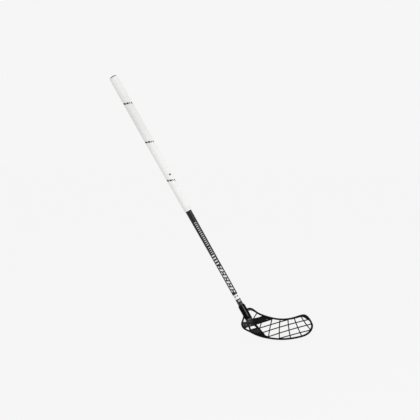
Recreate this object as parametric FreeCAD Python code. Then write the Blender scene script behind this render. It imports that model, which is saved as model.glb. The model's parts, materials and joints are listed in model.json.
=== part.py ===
"""Floorball stick: a tapered composite shaft with a wound grip and a moulded lattice blade.

Lengths are in millimetres and angles in degrees. The stick stands as it is played: +Z is up,
+X runs from the blade's heel to its toe, and +Y is the side that the blade hooks towards.
The origin is on the shaft's axis, in the middle of the straight part of the grip.
"""
import FreeCAD
import Part

import math
import os

# Shaft: straight under the hands, tapered below them, straight again where it enters the blade
SHAFT_LENGTH = 956.0
SHAFT_LEAN = 29.2
SHAFT_WALL = 1.5
HANDLE_DIAMETER = 26.0
HANDLE_LENGTH = 220.0
TIP_DIAMETER = 18.0
TIP_LENGTH = 230.0

# Core glued into the lower end of the shaft
CORE_LENGTH = 70.0
CORE_CHAMFER = 1.0
GLUE_GAP = 0.05

# Plug in the upper end of the shaft
BUTT_OVERHANG = 0.2
BUTT_EDGE_HEIGHT = 1.2
BUTT_DOME_RISE = 2.8
BUTT_DOME_FULLNESS = 0.75
BUTT_FLAT_DIAMETER = 10.0
SPIGOT_LENGTH = 24.0
SPIGOT_WALL = 2.0
RUNNING_GAP = 0.05

# Grip: a soft strip wound round the shaft, held at its lower end by a turn of tape
GRIP_LENGTH = 522.0
GRIP_THICKNESS = 2.2
GRIP_EDGE_RADIUS = 1.0
STRIP_PITCH = 25.0
SEAM_WIDTH = 1.0
SEAM_DEPTH = 0.5
SEAM_OVERCUT = 0.3
TAPE_LENGTH = 13.0
TAPE_THICKNESS = 0.4

# Socket of the blade: it narrows to its mouth above and to its foot below
SOCKET_DEPTH = 61.0
SOCKET_WALL = 3.25
SOCKET_FLOOR = 7.0
SOCKET_FOOT_TAPER = 2.8
SOCKET_FOOT_LENGTH = 9.0
MOUTH_WALL = 2.0
MOUTH_LENGTH = 5.0

# Label wrapped round the shaft above the socket
LABEL_CLEARANCE = 24.5
LABEL_LENGTH = 17.5
LABEL_THICKNESS = 0.2

# Blade lattice
BLADE_LENGTH = 251.5
BLADE_HEIGHT = 113.5
HOOK_START = 17.0
HOOK_RADIUS = 720.0
RIM_DEPTH = 9.0
RIM_WIDTH = 6.2
TOE_RIM_WIDTHS = [11.5, 11.5, 7.5]
EAR_RIM_WIDTH = 9.5
RIM_STEPS = 2
RIB_DEPTH = 5.0
RIB_WIDTH = 3.6
LONG_RIB_RADIUS = 1200.0
CROSS_RIB_RADIUS = 400.0
WEB_DEPTH = 3.2

# Screws that hold the blade, put in from behind
LOWER_SCREW_HEIGHT = 15.0
SCREW_SPACING = 24.0
SCREW_DIAMETER = 3.4
SCREW_LENGTH = 12.0
SCREW_TIP_LENGTH = 2.0
SCREW_HEAD_DIAMETER = 6.8
SCREW_HEAD_HEIGHT = 2.2
SCREW_SEAT_DEPTH = 1.5
SCREW_SEAT_GAP = 0.3
DRIVE_LENGTH = 4.0
DRIVE_WIDTH = 0.9
DRIVE_DEPTH = 1.2

# The blade's plan, in shares of its length and height from the shaft's lower end.
# Round the outside: the toe's top corner and the ear beside the socket have a wider rim.
HEEL_POINTS = [(-0.084, 0.179), (-0.102, 0.025), (-0.118, -0.103)]
SOLE_POINTS = [
    (-0.089, -0.257), (-0.030, -0.336), (0.099, -0.475), (0.250, -0.566), (0.411, -0.611), (0.679, -0.568),
]
TOE_POINTS = [(0.842, -0.416), (0.882, -0.214), (0.853, -0.038)]
TOE_CORNER = [(0.812, 0.086), (0.757, 0.155), (0.700, 0.138)]
TOP_POINTS = [(0.544, 0.055), (0.366, 0.065), (0.210, 0.156), (0.136, 0.222), (0.097, 0.275)]
EAR_POINTS = [(0.026, 0.378), (-0.032, 0.371)]

# Ribs, each from end to end and bowed to the left of that way: four along the blade from the heel,
# then six across it from the sole, and last the strut beside the socket
LONG_RIBS = [
    ((0.132, -0.247), (0.507, -0.009)),
    ((0.170, -0.387), (0.808, -0.019)),
    ((0.259, -0.509), (0.853, -0.160)),
    ((0.417, -0.563), (0.843, -0.345)),
]
CROSS_RIBS = [
    ((0.140, -0.238), (0.163, -0.064)),
    ((0.261, -0.528), (0.310, 0.038)),
    ((0.412, -0.571), (0.419, 0.000)),
    ((0.567, -0.560), (0.530, 0.011)),
    ((0.722, -0.497), (0.618, 0.045)),
    ((0.840, -0.310), (0.720, 0.062)),
    ((0.056, 0.062), (0.101, 0.223)),
]

# Thin web that joins the socket to the rim, and the two windows through it
WEB_POINTS = [
    (-0.100, -0.080), (-0.050, -0.062), (0.010, 0.018), (0.070, 0.068),
    (0.115, 0.088), (0.194, 0.147), (0.306, 0.058), (0.303, 0.010), (0.226, -0.031),
    (0.171, -0.070), (0.116, -0.104), (0.092, -0.138), (0.238, -0.506), (0.226, -0.545),
    (0.114, -0.469), (-0.006, -0.344), (-0.082, -0.232), (-0.108, -0.125),
]
WEB_WINDOWS = [
    [(0.006, -0.195), (0.062, -0.166), (0.093, -0.227), (0.020, -0.273)],
    [(-0.062, -0.254), (-0.018, -0.204), (0.000, -0.325)],
]

# Raised borders of the web, each a width and the middle line of its straight runs: along the top of
# the arm, along its underside and down the fin, under the larger window, and between the windows
WEB_BORDERS = [
    (5.0, [(0.074, 0.047), (0.119, 0.067), (0.198, 0.126)]),
    (6.0, [(0.300, 0.034), (0.223, -0.005), (0.113, -0.078), (0.086, -0.148), (0.228, -0.520)]),
    (4.0, [(0.012, -0.303), (0.100, -0.246)]),
    (3.6, [(-0.006, -0.190), (0.012, -0.310)]),
]

# Sizes that follow from the ones above
HANDLE_RADIUS = HANDLE_DIAMETER / 2
TIP_RADIUS = TIP_DIAMETER / 2
HANDLE_FOOT = SHAFT_LENGTH - HANDLE_LENGTH
GRIP_FOOT = SHAFT_LENGTH - GRIP_LENGTH
GRIP_MIDDLE = SHAFT_LENGTH - HANDLE_LENGTH / 2
TAPE_TOP = GRIP_FOOT + TAPE_LENGTH
GRIP_GROWTH = GLUE_GAP + GRIP_THICKNESS
BORE_RADIUS = TIP_RADIUS + GLUE_GAP
SOCKET_RADIUS = BORE_RADIUS + SOCKET_WALL
LABEL_FOOT = SOCKET_DEPTH + LABEL_CLEARANCE
SCREW_SEAT = SOCKET_RADIUS - SCREW_SEAT_DEPTH
SCREW_HOLE_RADIUS = SCREW_DIAMETER / 2 + RUNNING_GAP
SCREW_HEIGHTS = {
    "blade_screw_upper": LOWER_SCREW_HEIGHT + SCREW_SPACING,
    "blade_screw_lower": LOWER_SCREW_HEIGHT,
}
CLEAR_OF_SOCKET = 2 * SOCKET_RADIUS
Y_AXIS = FreeCAD.Vector(0, 1, 0)
Z_AXIS = FreeCAD.Vector(0, 0, 1)
ZERO = FreeCAD.Vector(0, 0, 0)


def shaft_radius(height):
    """Outer radius of the shaft at a height above its lower end."""
    if height >= HANDLE_FOOT:
        return HANDLE_RADIUS
    if height <= TIP_LENGTH:
        return TIP_RADIUS
    share = (height - TIP_LENGTH) / (HANDLE_FOOT - TIP_LENGTH)
    return TIP_RADIUS + share * (HANDLE_RADIUS - TIP_RADIUS)


def turned(profile):
    """Solid of revolution about the shaft's axis, from a closed outline of (radius, height) points."""
    points = [FreeCAD.Vector(radius, 0, height) for radius, height in profile]
    outline = Part.makePolygon(points + points[:1])
    return Part.Face(outline).revolve(ZERO, Z_AXIS, 360)


def taper_heights(low, high):
    """Both heights, with the ends of the shaft's taper that lie between them."""
    breaks = [height for height in (TIP_LENGTH, HANDLE_FOOT) if low < height < high]
    return [low] + breaks + [high]


def sleeve(low, high, inner_growth, outer_growth):
    """Sleeve that follows the shaft between two heights, both walls grown from the shaft's surface."""
    heights = taper_heights(low, high)
    outside = [(shaft_radius(height) + outer_growth, height) for height in heights]
    inside = [(shaft_radius(height) + inner_growth, height) for height in reversed(heights)]
    return turned(outside + inside)


def cross_pin(radius, start, end, height):
    """Cylinder along Y through the shaft's axis, between two distances from it."""
    return Part.makeCylinder(radius, end - start, FreeCAD.Vector(0, start, height), Y_AXIS)


def screw_holes():
    """Holes for both blade screws, from just inside the screws' tips out past the socket."""
    floor = SCREW_SEAT - SCREW_LENGTH - SCREW_TIP_LENGTH - RUNNING_GAP
    return [
        cross_pin(SCREW_HOLE_RADIUS, floor, CLEAR_OF_SOCKET, height)
        for height in SCREW_HEIGHTS.values()
    ]


def make_shaft_tube():
    """Hollow tube with a wall of even thickness and two screw holes on the back of its lower end."""
    tube = sleeve(0, SHAFT_LENGTH, -SHAFT_WALL, 0)
    return tube.cut(screw_holes())


def make_shaft_end_plug():
    """Solid core in the lower end of the tube, chamfered at its top and drilled for the screws."""
    radius = TIP_RADIUS - SHAFT_WALL - GLUE_GAP
    core = turned([
        (0, 0), (radius, 0), (radius, CORE_LENGTH - CORE_CHAMFER),
        (radius - CORE_CHAMFER, CORE_LENGTH), (0, CORE_LENGTH),
    ])
    return core.cut(screw_holes())


def make_butt_plug():
    """Domed head that rests on the tube's end, with a hollow spigot that slides into the tube."""
    head_radius = HANDLE_RADIUS + BUTT_OVERHANG
    flat_radius = BUTT_FLAT_DIAMETER / 2
    spigot_radius = HANDLE_RADIUS - SHAFT_WALL - RUNNING_GAP
    edge_top = SHAFT_LENGTH + BUTT_EDGE_HEIGHT
    dome_top = edge_top + BUTT_DOME_RISE
    knee_height = edge_top + BUTT_DOME_RISE * BUTT_DOME_FULLNESS
    knee = FreeCAD.Vector((head_radius + flat_radius) / 2, 0, knee_height)
    corners = [
        FreeCAD.Vector(radius, 0, height)
        for radius, height in (
            (flat_radius, dome_top),
            (0, dome_top),
            (0, SHAFT_LENGTH),
            (spigot_radius - SPIGOT_WALL, SHAFT_LENGTH),
            (spigot_radius - SPIGOT_WALL, SHAFT_LENGTH - SPIGOT_LENGTH),
            (spigot_radius, SHAFT_LENGTH - SPIGOT_LENGTH),
            (spigot_radius, SHAFT_LENGTH),
            (head_radius, SHAFT_LENGTH),
            (head_radius, edge_top),
        )
    ]
    dome = Part.Arc(corners[-1], knee, corners[0]).toShape()
    outline = Part.Wire(Part.makePolygon(corners).Edges + [dome])
    return Part.Face(outline).revolve(ZERO, Z_AXIS, 360)


def strip_seam(low, high):
    """Left-handed V groove where each turn of the strip meets the next, between two heights."""
    low_radius = shaft_radius(low) + GRIP_GROWTH
    high_radius = shaft_radius(high) + GRIP_GROWTH
    slope = math.degrees(math.atan2(high_radius - low_radius, high - low))
    path = Part.makeHelix(STRIP_PITCH, high - low, low_radius, slope, True)
    path.translate(Z_AXIS * low)
    half_width = SEAM_WIDTH / 2 * (SEAM_DEPTH + SEAM_OVERCUT) / SEAM_DEPTH
    corners = [
        FreeCAD.Vector(low_radius + SEAM_OVERCUT, 0, low - half_width),
        FreeCAD.Vector(low_radius - SEAM_DEPTH, 0, low),
        FreeCAD.Vector(low_radius + SEAM_OVERCUT, 0, low + half_width),
    ]
    section = Part.makePolygon(corners + corners[:1])
    seam = Part.Wire(path).makePipeShell([section], True, True)
    seam.rotate(ZERO, Z_AXIS, -360 * (low - TAPE_TOP) / STRIP_PITCH)
    return seam


def round_top(turns):
    """Grip with the outer edge of its upper end rounded."""
    half_wall = GRIP_THICKNESS / 2
    middle_radius = HANDLE_RADIUS + GLUE_GAP + half_wall
    rim = [
        edge for edge in turns.Edges
        if edge.BoundBox.ZMin > HANDLE_FOOT and edge.BoundBox.YMax > middle_radius
    ]
    return turns.makeFillet(min(GRIP_EDGE_RADIUS, half_wall), rim)


def make_grip_wrap():
    """Soft strip wound round the upper part of the shaft, pressed thinner under the finishing tape."""
    heights = taper_heights(TAPE_TOP, SHAFT_LENGTH)
    wound = []
    for low, high in zip(heights, heights[1:]):
        turns = sleeve(low, high, GLUE_GAP, GRIP_GROWTH)
        if high == SHAFT_LENGTH:
            turns = round_top(turns)
        wound.append(turns.cut(strip_seam(low, high)))
    pressed = sleeve(GRIP_FOOT, TAPE_TOP, GLUE_GAP, GRIP_GROWTH - TAPE_THICKNESS - GLUE_GAP)
    return pressed.fuse(wound).removeSplitter()


def make_grip_finish_tape():
    """Thin ring of tape round the pressed lower end of the grip."""
    return sleeve(GRIP_FOOT, TAPE_TOP, GRIP_GROWTH - TAPE_THICKNESS, GRIP_GROWTH)


def make_ring_label():
    """Thin label wrapped once round the shaft."""
    return sleeve(LABEL_FOOT, LABEL_FOOT + LABEL_LENGTH, GLUE_GAP, GLUE_GAP + LABEL_THICKNESS)


def make_blade_screw(height):
    """Pan-head screw with a pointed tip and a cross drive."""
    radius = SCREW_DIAMETER / 2
    tip = SCREW_SEAT - SCREW_LENGTH
    shank = cross_pin(radius, tip, SCREW_SEAT, height)
    head = cross_pin(SCREW_HEAD_DIAMETER / 2, SCREW_SEAT, SCREW_SEAT + SCREW_HEAD_HEIGHT, height)
    rim = [edge for edge in head.Edges if edge.BoundBox.YMin > SCREW_SEAT + SCREW_HEAD_HEIGHT / 2]
    head = head.makeFillet(SCREW_HEAD_HEIGHT / 2, rim)
    point = Part.makeCone(radius, radius / 4, SCREW_TIP_LENGTH, FreeCAD.Vector(0, tip, height), -Y_AXIS)
    screw = shank.fuse([head, point]).removeSplitter()
    floor = SCREW_SEAT + SCREW_HEAD_HEIGHT - DRIVE_DEPTH
    for length, width in ((DRIVE_LENGTH, DRIVE_WIDTH), (DRIVE_WIDTH, DRIVE_LENGTH)):
        corner = FreeCAD.Vector(-length / 2, floor, height - width / 2)
        screw = screw.cut(Part.makeBox(length, SCREW_HEAD_HEIGHT, width, corner))
    return screw


def plan_point(share):
    """Point of the blade's plan, from its shares of the blade's length and height."""
    return FreeCAD.Vector(share[0] * BLADE_LENGTH, 0, share[1] * BLADE_HEIGHT)


def smooth_outline(points):
    """Closed smooth curve through the points."""
    curve = Part.BSplineCurve()
    curve.interpolate(Points=points, PeriodicFlag=True)
    return curve


def plan_prism(face):
    """Plan face made a block that is deep enough to pass through the whole hooked blade."""
    reach = BLADE_LENGTH
    face = face.copy()
    face.translate(Y_AXIS * -reach)
    return face.extrude(Y_AXIS * 2 * reach)


def plan_polygon(shares):
    """Straight-sided plan face."""
    points = [plan_point(share) for share in shares]
    return Part.Face(Part.makePolygon(points + points[:1]))


def hooked_slab(depth):
    """Slab that is flat at the socket and bends towards +Y on the hook's radius."""
    half = depth / 2
    toe = max(share[0] for share in TOE_POINTS) * BLADE_LENGTH
    turn = math.asin((toe + RIM_WIDTH - HOOK_START) / (HOOK_RADIUS - half))

    def bent(radius, angle):
        across = HOOK_START + radius * math.sin(angle)
        return FreeCAD.Vector(across, HOOK_RADIUS - radius * math.cos(angle), -BLADE_HEIGHT)

    front = HOOK_RADIUS + half
    back = HOOK_RADIUS - half
    start_front = FreeCAD.Vector(-BLADE_LENGTH, -half, -BLADE_HEIGHT)
    start_back = FreeCAD.Vector(-BLADE_LENGTH, half, -BLADE_HEIGHT)
    edges = [
        Part.LineSegment(start_front, bent(front, 0)).toShape(),
        Part.Arc(bent(front, 0), bent(front, turn / 2), bent(front, turn)).toShape(),
        Part.LineSegment(bent(front, turn), bent(back, turn)).toShape(),
        Part.Arc(bent(back, turn), bent(back, turn / 2), bent(back, 0)).toShape(),
        Part.LineSegment(bent(back, 0), start_back).toShape(),
        Part.LineSegment(start_back, start_front).toShape(),
    ]
    return Part.Face(Part.Wire(edges)).extrude(Z_AXIS * 2 * BLADE_HEIGHT)


def make_rim():
    """Rim between the outline and an inner outline, set in by a width that changes evenly between points."""
    plain = [(share, RIM_WIDTH) for share in HEEL_POINTS + SOLE_POINTS + TOE_POINTS]
    corner = list(zip(TOE_CORNER, TOE_RIM_WIDTHS))
    top = [(share, RIM_WIDTH) for share in TOP_POINTS]
    ear = [(share, EAR_RIM_WIDTH) for share in EAR_POINTS]
    points = []
    widths = []
    for share, width in plain + corner + top + ear:
        points.append(plan_point(share))
        widths.append(width)
    outside = smooth_outline(points)
    between = [outside.parameter(point) for point in points[1:]]
    knots = [outside.FirstParameter] + between + [outside.LastParameter]
    widths.append(widths[0])
    inner_points = []
    for index in range(len(points)):
        for step in range(RIM_STEPS):
            share = step / RIM_STEPS
            knot = knots[index] + share * (knots[index + 1] - knots[index])
            width = widths[index] + share * (widths[index + 1] - widths[index])
            along = outside.tangent(knot)[0]
            inner_points.append(outside.value(knot) + Y_AXIS.cross(along).normalize() * -width)
    inside = smooth_outline(inner_points)
    ring = Part.Face(Part.Wire(outside.toShape())).cut(Part.Face(Part.Wire(inside.toShape())))
    return plan_prism(ring).common(hooked_slab(RIM_DEPTH))


def rib_face(start, end, radius):
    """Plan of one rib: a band of even width, bowed to the left and run on at both ends."""
    along = (end - start).normalize()
    start = start - along * (RIM_WIDTH / 2)
    end = end + along * (RIM_WIDTH / 2)
    left = along.cross(Y_AXIS)
    half_chord = (end - start).Length / 2
    crown = (start + end) * 0.5 + left * (radius - math.sqrt(radius ** 2 - half_chord ** 2))
    side = left * (RIB_WIDTH / 2)
    edges = [
        Part.Arc(start + side, crown + side, end + side).toShape(),
        Part.LineSegment(end + side, end - side).toShape(),
        Part.Arc(end - side, crown - side, start - side).toShape(),
        Part.LineSegment(start - side, start + side).toShape(),
    ]
    return Part.Face(Part.Wire(edges))


def make_ribs():
    """All ribs of the lattice, each run into the rim or the web at both ends."""
    bars = []
    for ribs, radius in ((LONG_RIBS, LONG_RIB_RADIUS), (CROSS_RIBS, CROSS_RIB_RADIUS)):
        for start, end in ribs:
            bars.append(plan_prism(rib_face(plan_point(start), plan_point(end), radius)))
    lattice = bars[0].fuse(bars[1:])
    return lattice.common(hooked_slab(RIB_DEPTH))


def make_web():
    """Thin web at the heel, with its windows."""
    plate = plan_polygon(WEB_POINTS).cut([plan_polygon(window) for window in WEB_WINDOWS])
    return plan_prism(plate).common(hooked_slab(WEB_DEPTH))


def border_bands(width, points):
    """Plan of one border of the web: a straight band for each run, lengthened to meet the next."""
    bands = []
    for start, end in zip(points, points[1:]):
        along = (end - start).normalize() * (width / 2)
        side = along.cross(Y_AXIS)
        low, high = start - along, end + along
        corners = [low + side, high + side, high - side, low - side]
        bands.append(Part.Face(Part.makePolygon(corners + corners[:1])))
    return bands


def make_web_borders():
    """Borders of the web, as deep as the ribs."""
    bars = []
    for width, shares in WEB_BORDERS:
        points = [plan_point(share) for share in shares]
        bars += [plan_prism(band) for band in border_bands(width, points)]
    return bars[0].fuse(bars[1:]).common(hooked_slab(RIB_DEPTH))


def make_blade():
    """Lattice blade and socket as one moulding, bored for the shaft and seated for the screws."""
    foot_end = -SOCKET_FLOOR
    socket = turned([
        (0, foot_end),
        (SOCKET_RADIUS - SOCKET_FOOT_TAPER, foot_end),
        (SOCKET_RADIUS, foot_end + SOCKET_FOOT_LENGTH),
        (SOCKET_RADIUS, SOCKET_DEPTH - MOUTH_LENGTH),
        (BORE_RADIUS + MOUTH_WALL, SOCKET_DEPTH),
        (0, SOCKET_DEPTH),
    ])
    bore = Part.makeCylinder(BORE_RADIUS, SHAFT_LENGTH, ZERO, Z_AXIS)
    seat_radius = SCREW_HEAD_DIAMETER / 2 + SCREW_SEAT_GAP
    seats = [
        cross_pin(seat_radius, SCREW_SEAT, CLEAR_OF_SOCKET, height)
        for height in SCREW_HEIGHTS.values()
    ]
    cuts = [lean(cut) for cut in [bore] + seats + screw_holes()]
    moulding = make_rim().fuse([make_ribs(), make_web(), make_web_borders(), lean(socket)])
    return moulding.cut(cuts).removeSplitter()


def lean(shape):
    """Shape tipped from an upright shaft to the stick's own lean, about the shaft's lower end."""
    shape = shape.copy()
    shape.rotate(ZERO, Y_AXIS, -SHAFT_LEAN)
    return shape


def place(shape):
    """Shape moved so that the origin lies in the middle of the straight grip."""
    shape = shape.copy()
    tilt = math.radians(SHAFT_LEAN)
    up_the_shaft = FreeCAD.Vector(-math.sin(tilt), 0, math.cos(tilt))
    shape.translate(up_the_shaft * -GRIP_MIDDLE)
    return shape


pieces = {
    "shaft_tube": lean(make_shaft_tube()),
    "shaft_end_plug": lean(make_shaft_end_plug()),
    "butt_plug": lean(make_butt_plug()),
    "grip_wrap": lean(make_grip_wrap()),
    "grip_finish_tape": lean(make_grip_finish_tape()),
    "ring_label": lean(make_ring_label()),
    "blade": make_blade(),
}
for screw_name, screw_height in SCREW_HEIGHTS.items():
    pieces[screw_name] = lean(make_blade_screw(screw_height))

os.makedirs("parts", exist_ok=True)
for name, piece in pieces.items():
    solids = place(piece).Solids
    shape = solids[0] if len(solids) == 1 else Part.makeCompound(solids)
    shape.exportStep("parts/" + name + ".step")
    print(name, "solids", len(solids), "volume", round(shape.Volume), "valid", shape.isValid())
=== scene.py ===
"""Looks of a floorball stick: a carbon shaft, a moulded lattice blade with its screws, a label, a wound
grip with its finishing tape, and a butt plug, in the order in which such a stick is put together."""

import json
import math

import bmesh
import bpy
import numpy as np
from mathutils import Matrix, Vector
from mathutils.geometry import delaunay_2d_cdt


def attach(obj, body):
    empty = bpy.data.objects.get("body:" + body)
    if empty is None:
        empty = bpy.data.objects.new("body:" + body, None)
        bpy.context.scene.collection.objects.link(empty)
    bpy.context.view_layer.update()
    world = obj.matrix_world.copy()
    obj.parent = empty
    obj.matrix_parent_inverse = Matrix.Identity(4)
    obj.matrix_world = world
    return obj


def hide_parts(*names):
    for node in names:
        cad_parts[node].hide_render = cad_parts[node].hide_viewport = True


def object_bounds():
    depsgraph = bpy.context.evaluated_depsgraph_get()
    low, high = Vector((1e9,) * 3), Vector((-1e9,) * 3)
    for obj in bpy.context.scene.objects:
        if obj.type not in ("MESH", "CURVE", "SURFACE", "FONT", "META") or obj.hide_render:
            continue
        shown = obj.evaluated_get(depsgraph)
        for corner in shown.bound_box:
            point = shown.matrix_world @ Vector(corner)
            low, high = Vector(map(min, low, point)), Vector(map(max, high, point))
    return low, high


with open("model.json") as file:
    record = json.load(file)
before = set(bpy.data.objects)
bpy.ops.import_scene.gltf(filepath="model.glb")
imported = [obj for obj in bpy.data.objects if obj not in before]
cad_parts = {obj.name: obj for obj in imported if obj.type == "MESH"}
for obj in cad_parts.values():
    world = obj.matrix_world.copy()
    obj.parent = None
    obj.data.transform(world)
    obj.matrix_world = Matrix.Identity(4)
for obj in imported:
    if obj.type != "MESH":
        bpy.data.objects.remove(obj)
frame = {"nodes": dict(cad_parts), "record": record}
cad_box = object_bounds()

# Shaft: a thin tube of carbon fibre wound on a tapered core, with a satin clear coat over it.
# Its lower half carries a white print under the coat: rows of ticks, then slanting bars, every other one
# with a dark slot, and two small grey patches above the socket.
SHAFT_LENGTH = 0.956
GRIP_MIDDLE = 0.846
CARBON_BLACK = (0.006, 0.006, 0.0064, 1)
CARBON_GREY = (0.015, 0.015, 0.0157, 1)
PRINT_WHITE = (0.74, 0.74, 0.75, 1)
FIBRES_PER_METRE = 2600
FIBRE_STRETCH = 0.02
WOUND_BAND = 0.024
CARBON_GLOSS_SPAN = (0.3, 1.2)
CARBON_ROUGHNESS = (0.20, 0.28)
CARBON_SPECULAR = 0.22
CARBON_COAT = 0.06
CARBON_COAT_ROUGHNESS = 0.2
BARS_FOOT = 0.1132
BARS_TOP = 0.220
BAR_COUNT = 9
BAR_HALF_WIDTH = 0.0055
BAR_SLANT = 0.55
BAR_SHARE = 0.60
BAR_END_EDGE = 0.001
SLOT_HALF_WIDTH = 0.0018
TICK_ROWS = [
    {"foot": 0.298, "top": 0.391, "pitch": 0.0073, "share": 0.28, "offset": 0.0012, "half_width": 0.0038},
    {"foot": 0.266, "top": 0.290, "pitch": 0.0073, "share": 0.28, "offset": 0.0012, "half_width": 0.0038},
    {"foot": 0.224, "top": 0.262, "pitch": 0.0105, "share": 0.41, "offset": -0.0008, "half_width": 0.0054},
]
PATCHES = [
    {"height": 0.0782, "half_height": 0.0028, "offset": 0.0028, "half_width": 0.0052},
    {"height": 0.0660, "half_height": 0.0020, "offset": 0.0024, "half_width": 0.0046},
]
PATCH_GREYS = [(0.44, 0.44, 0.44, 1), (0.055, 0.055, 0.055, 1)]
PRINT_EDGE = 0.0002

grip_mount = next(mount for mount in frame["record"]["mounts"] if mount["name"] == "grip")
up_shaft = np.array(grip_mount["axis"])
towards_toe = np.array([up_shaft[2], 0, -up_shaft[0]])
towards_back = np.array([0, 1.0, 0])
shaft_lean = math.atan2(-up_shaft[0], up_shaft[2])
shaft_foot = -GRIP_MIDDLE * up_shaft


def wire(tree, kind, *values, settings=None, **named):
    """Adds one shader node. Settings are its properties, values fill its sockets in order, and named
    values fill the sockets of those names: an output of another node is linked, anything else is set."""
    made = tree.nodes.new("ShaderNode" + kind)
    for name, value in (settings or {}).items():
        setattr(made, name, value)
    sockets = list(zip(made.inputs, values))
    sockets += [(made.inputs[name.replace("_", " ")], value) for name, value in named.items()]
    for socket, value in sockets:
        if isinstance(value, bpy.types.NodeSocket):
            tree.links.new(value, socket)
        else:
            socket.default_value = value
    return made


def reckon(tree, operation, *values):
    """Result of one Math node."""
    return wire(tree, "Math", *values, settings={"operation": operation}).outputs[0]


def eased(tree, value, low, high, at_low, at_high):
    """Value that runs smoothly from at_low to at_high as another runs from low to high."""
    ramp = wire(
        tree, "MapRange", value, low, high, at_low, at_high,
        settings={"interpolation_type": "SMOOTHSTEP"},
    )
    return ramp.outputs[0]


def stripe(tree, value, middle, half_width, edge):
    """Mask that is 1 within half_width of the middle and falls to 0 over the edge."""
    away = reckon(tree, "ABSOLUTE", reckon(tree, "SUBTRACT", value, middle))
    return eased(tree, away, half_width, half_width + edge, 1.0, 0.0)


def tinted(tree, share, first, second):
    """Colour that goes from the first to the second as the share goes from 0 to 1."""
    mix = wire(tree, "Mix", share, settings={"data_type": "RGBA"})
    for socket, colour in ((mix.inputs[6], first), (mix.inputs[7], second)):
        if isinstance(colour, bpy.types.NodeSocket):
            tree.links.new(colour, socket)
        else:
            socket.default_value = colour
    return mix.outputs[2]


def speckle(tree, place, scale, detail=2.0):
    """Noise from 0 to 1 at a place, with about scale speckles to the metre."""
    return wire(tree, "TexNoise", Vector=place, Scale=scale, Detail=detail).outputs["Fac"]


def new_group(name, inputs, outputs):
    """Empty shader group with these inputs, each with its starting value, and outputs, all plain values."""
    group = bpy.data.node_groups.new(name, "ShaderNodeTree")
    for socket_name, start in inputs.items():
        socket = group.interface.new_socket(socket_name, in_out="INPUT", socket_type="NodeSocketFloat")
        socket.default_value = start
    for socket_name in outputs:
        group.interface.new_socket(socket_name, in_out="OUTPUT", socket_type="NodeSocketFloat")
    entry = group.nodes.new("NodeGroupInput").outputs
    leave = group.nodes.new("NodeGroupOutput").inputs
    return group, entry, leave


def new_finish(name):
    """Material with its node tree and its Principled shader."""
    material = bpy.data.materials.new(name)
    material.use_nodes = True
    return material, material.node_tree, material.node_tree.nodes["Principled BSDF"]


def make_shaft_lines():
    """Group that unrolls the shaft: the height above its lower end, the turn from its front, in radians,
    and the girth, which is the distance round it from its front."""
    group, _, leave = new_group("shaft_lines", {}, ["Height", "Turn", "Girth"])
    place = wire(group, "TexCoord").outputs["Object"]
    upright = wire(
        group, "Mapping", Vector=place, Location=(0, 0, GRIP_MIDDLE), Rotation=(0, shaft_lean, 0)
    ).outputs[0]
    x, y, z = wire(group, "SeparateXYZ", upright).outputs
    turn = reckon(group, "ARCTAN2", x, reckon(group, "MULTIPLY", y, -1.0))
    squares = reckon(group, "ADD", reckon(group, "MULTIPLY", x, x), reckon(group, "MULTIPLY", y, y))
    girth = reckon(group, "MULTIPLY", turn, reckon(group, "SQRT", squares))
    for socket, value in zip(leave, (z, turn, girth)):
        group.links.new(value, socket)
    return group


shaft_lines = make_shaft_lines()


def unrolled(tree):
    """Height, turn and girth on the shaft, for one material."""
    return wire(tree, "Group", settings={"node_tree": shaft_lines}).outputs[:3]


def bar_print(tree, height, girth):
    """Mask of the slanting bars: each bar fills a share of its pitch, and every other one has a slot."""
    pitch = (BARS_TOP - BARS_FOOT) / BAR_COUNT
    slant = reckon(tree, "MULTIPLY", girth, BAR_SLANT)
    along = reckon(tree, "ADD", reckon(tree, "SUBTRACT", height, BARS_FOOT), slant)
    count = reckon(tree, "DIVIDE", along, pitch)
    inked = reckon(tree, "LESS_THAN", reckon(tree, "FRACT", count), BAR_SHARE)
    within = stripe(tree, count, BAR_COUNT / 2, BAR_COUNT / 2, BAR_END_EDGE)
    wide = stripe(tree, girth, 0.0, BAR_HALF_WIDTH, PRINT_EDGE)
    paired = reckon(tree, "FRACT", reckon(tree, "DIVIDE", count, 2.0))
    slot = reckon(
        tree, "MULTIPLY",
        reckon(tree, "LESS_THAN", paired, 0.5),
        stripe(tree, girth, 0.0, SLOT_HALF_WIDTH, PRINT_EDGE),
    )
    bar = reckon(tree, "MULTIPLY", reckon(tree, "MULTIPLY", inked, within), wide)
    return reckon(tree, "MULTIPLY", bar, reckon(tree, "SUBTRACT", 1.0, slot))


def tick_print(tree, height, girth, foot, top, pitch, share, offset, half_width):
    """Mask of one row of ticks, each of which fills a share of its pitch."""
    count = reckon(tree, "DIVIDE", reckon(tree, "SUBTRACT", height, foot), pitch)
    inked = reckon(tree, "LESS_THAN", reckon(tree, "FRACT", count), share)
    middle = (foot + top) / 2
    within = stripe(tree, height, middle, top - middle, PRINT_EDGE)
    wide = stripe(tree, girth, offset, half_width, PRINT_EDGE)
    return reckon(tree, "MULTIPLY", reckon(tree, "MULTIPLY", inked, within), wide)


def patch_print(tree, place, girth, height, half_height, offset, half_width):
    """Mask of one patch, by its height and its offset round the shaft."""
    return reckon(
        tree, "MULTIPLY",
        stripe(tree, girth, offset, half_width, PRINT_EDGE),
        stripe(tree, place, height, half_height, PRINT_EDGE),
    )


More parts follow.
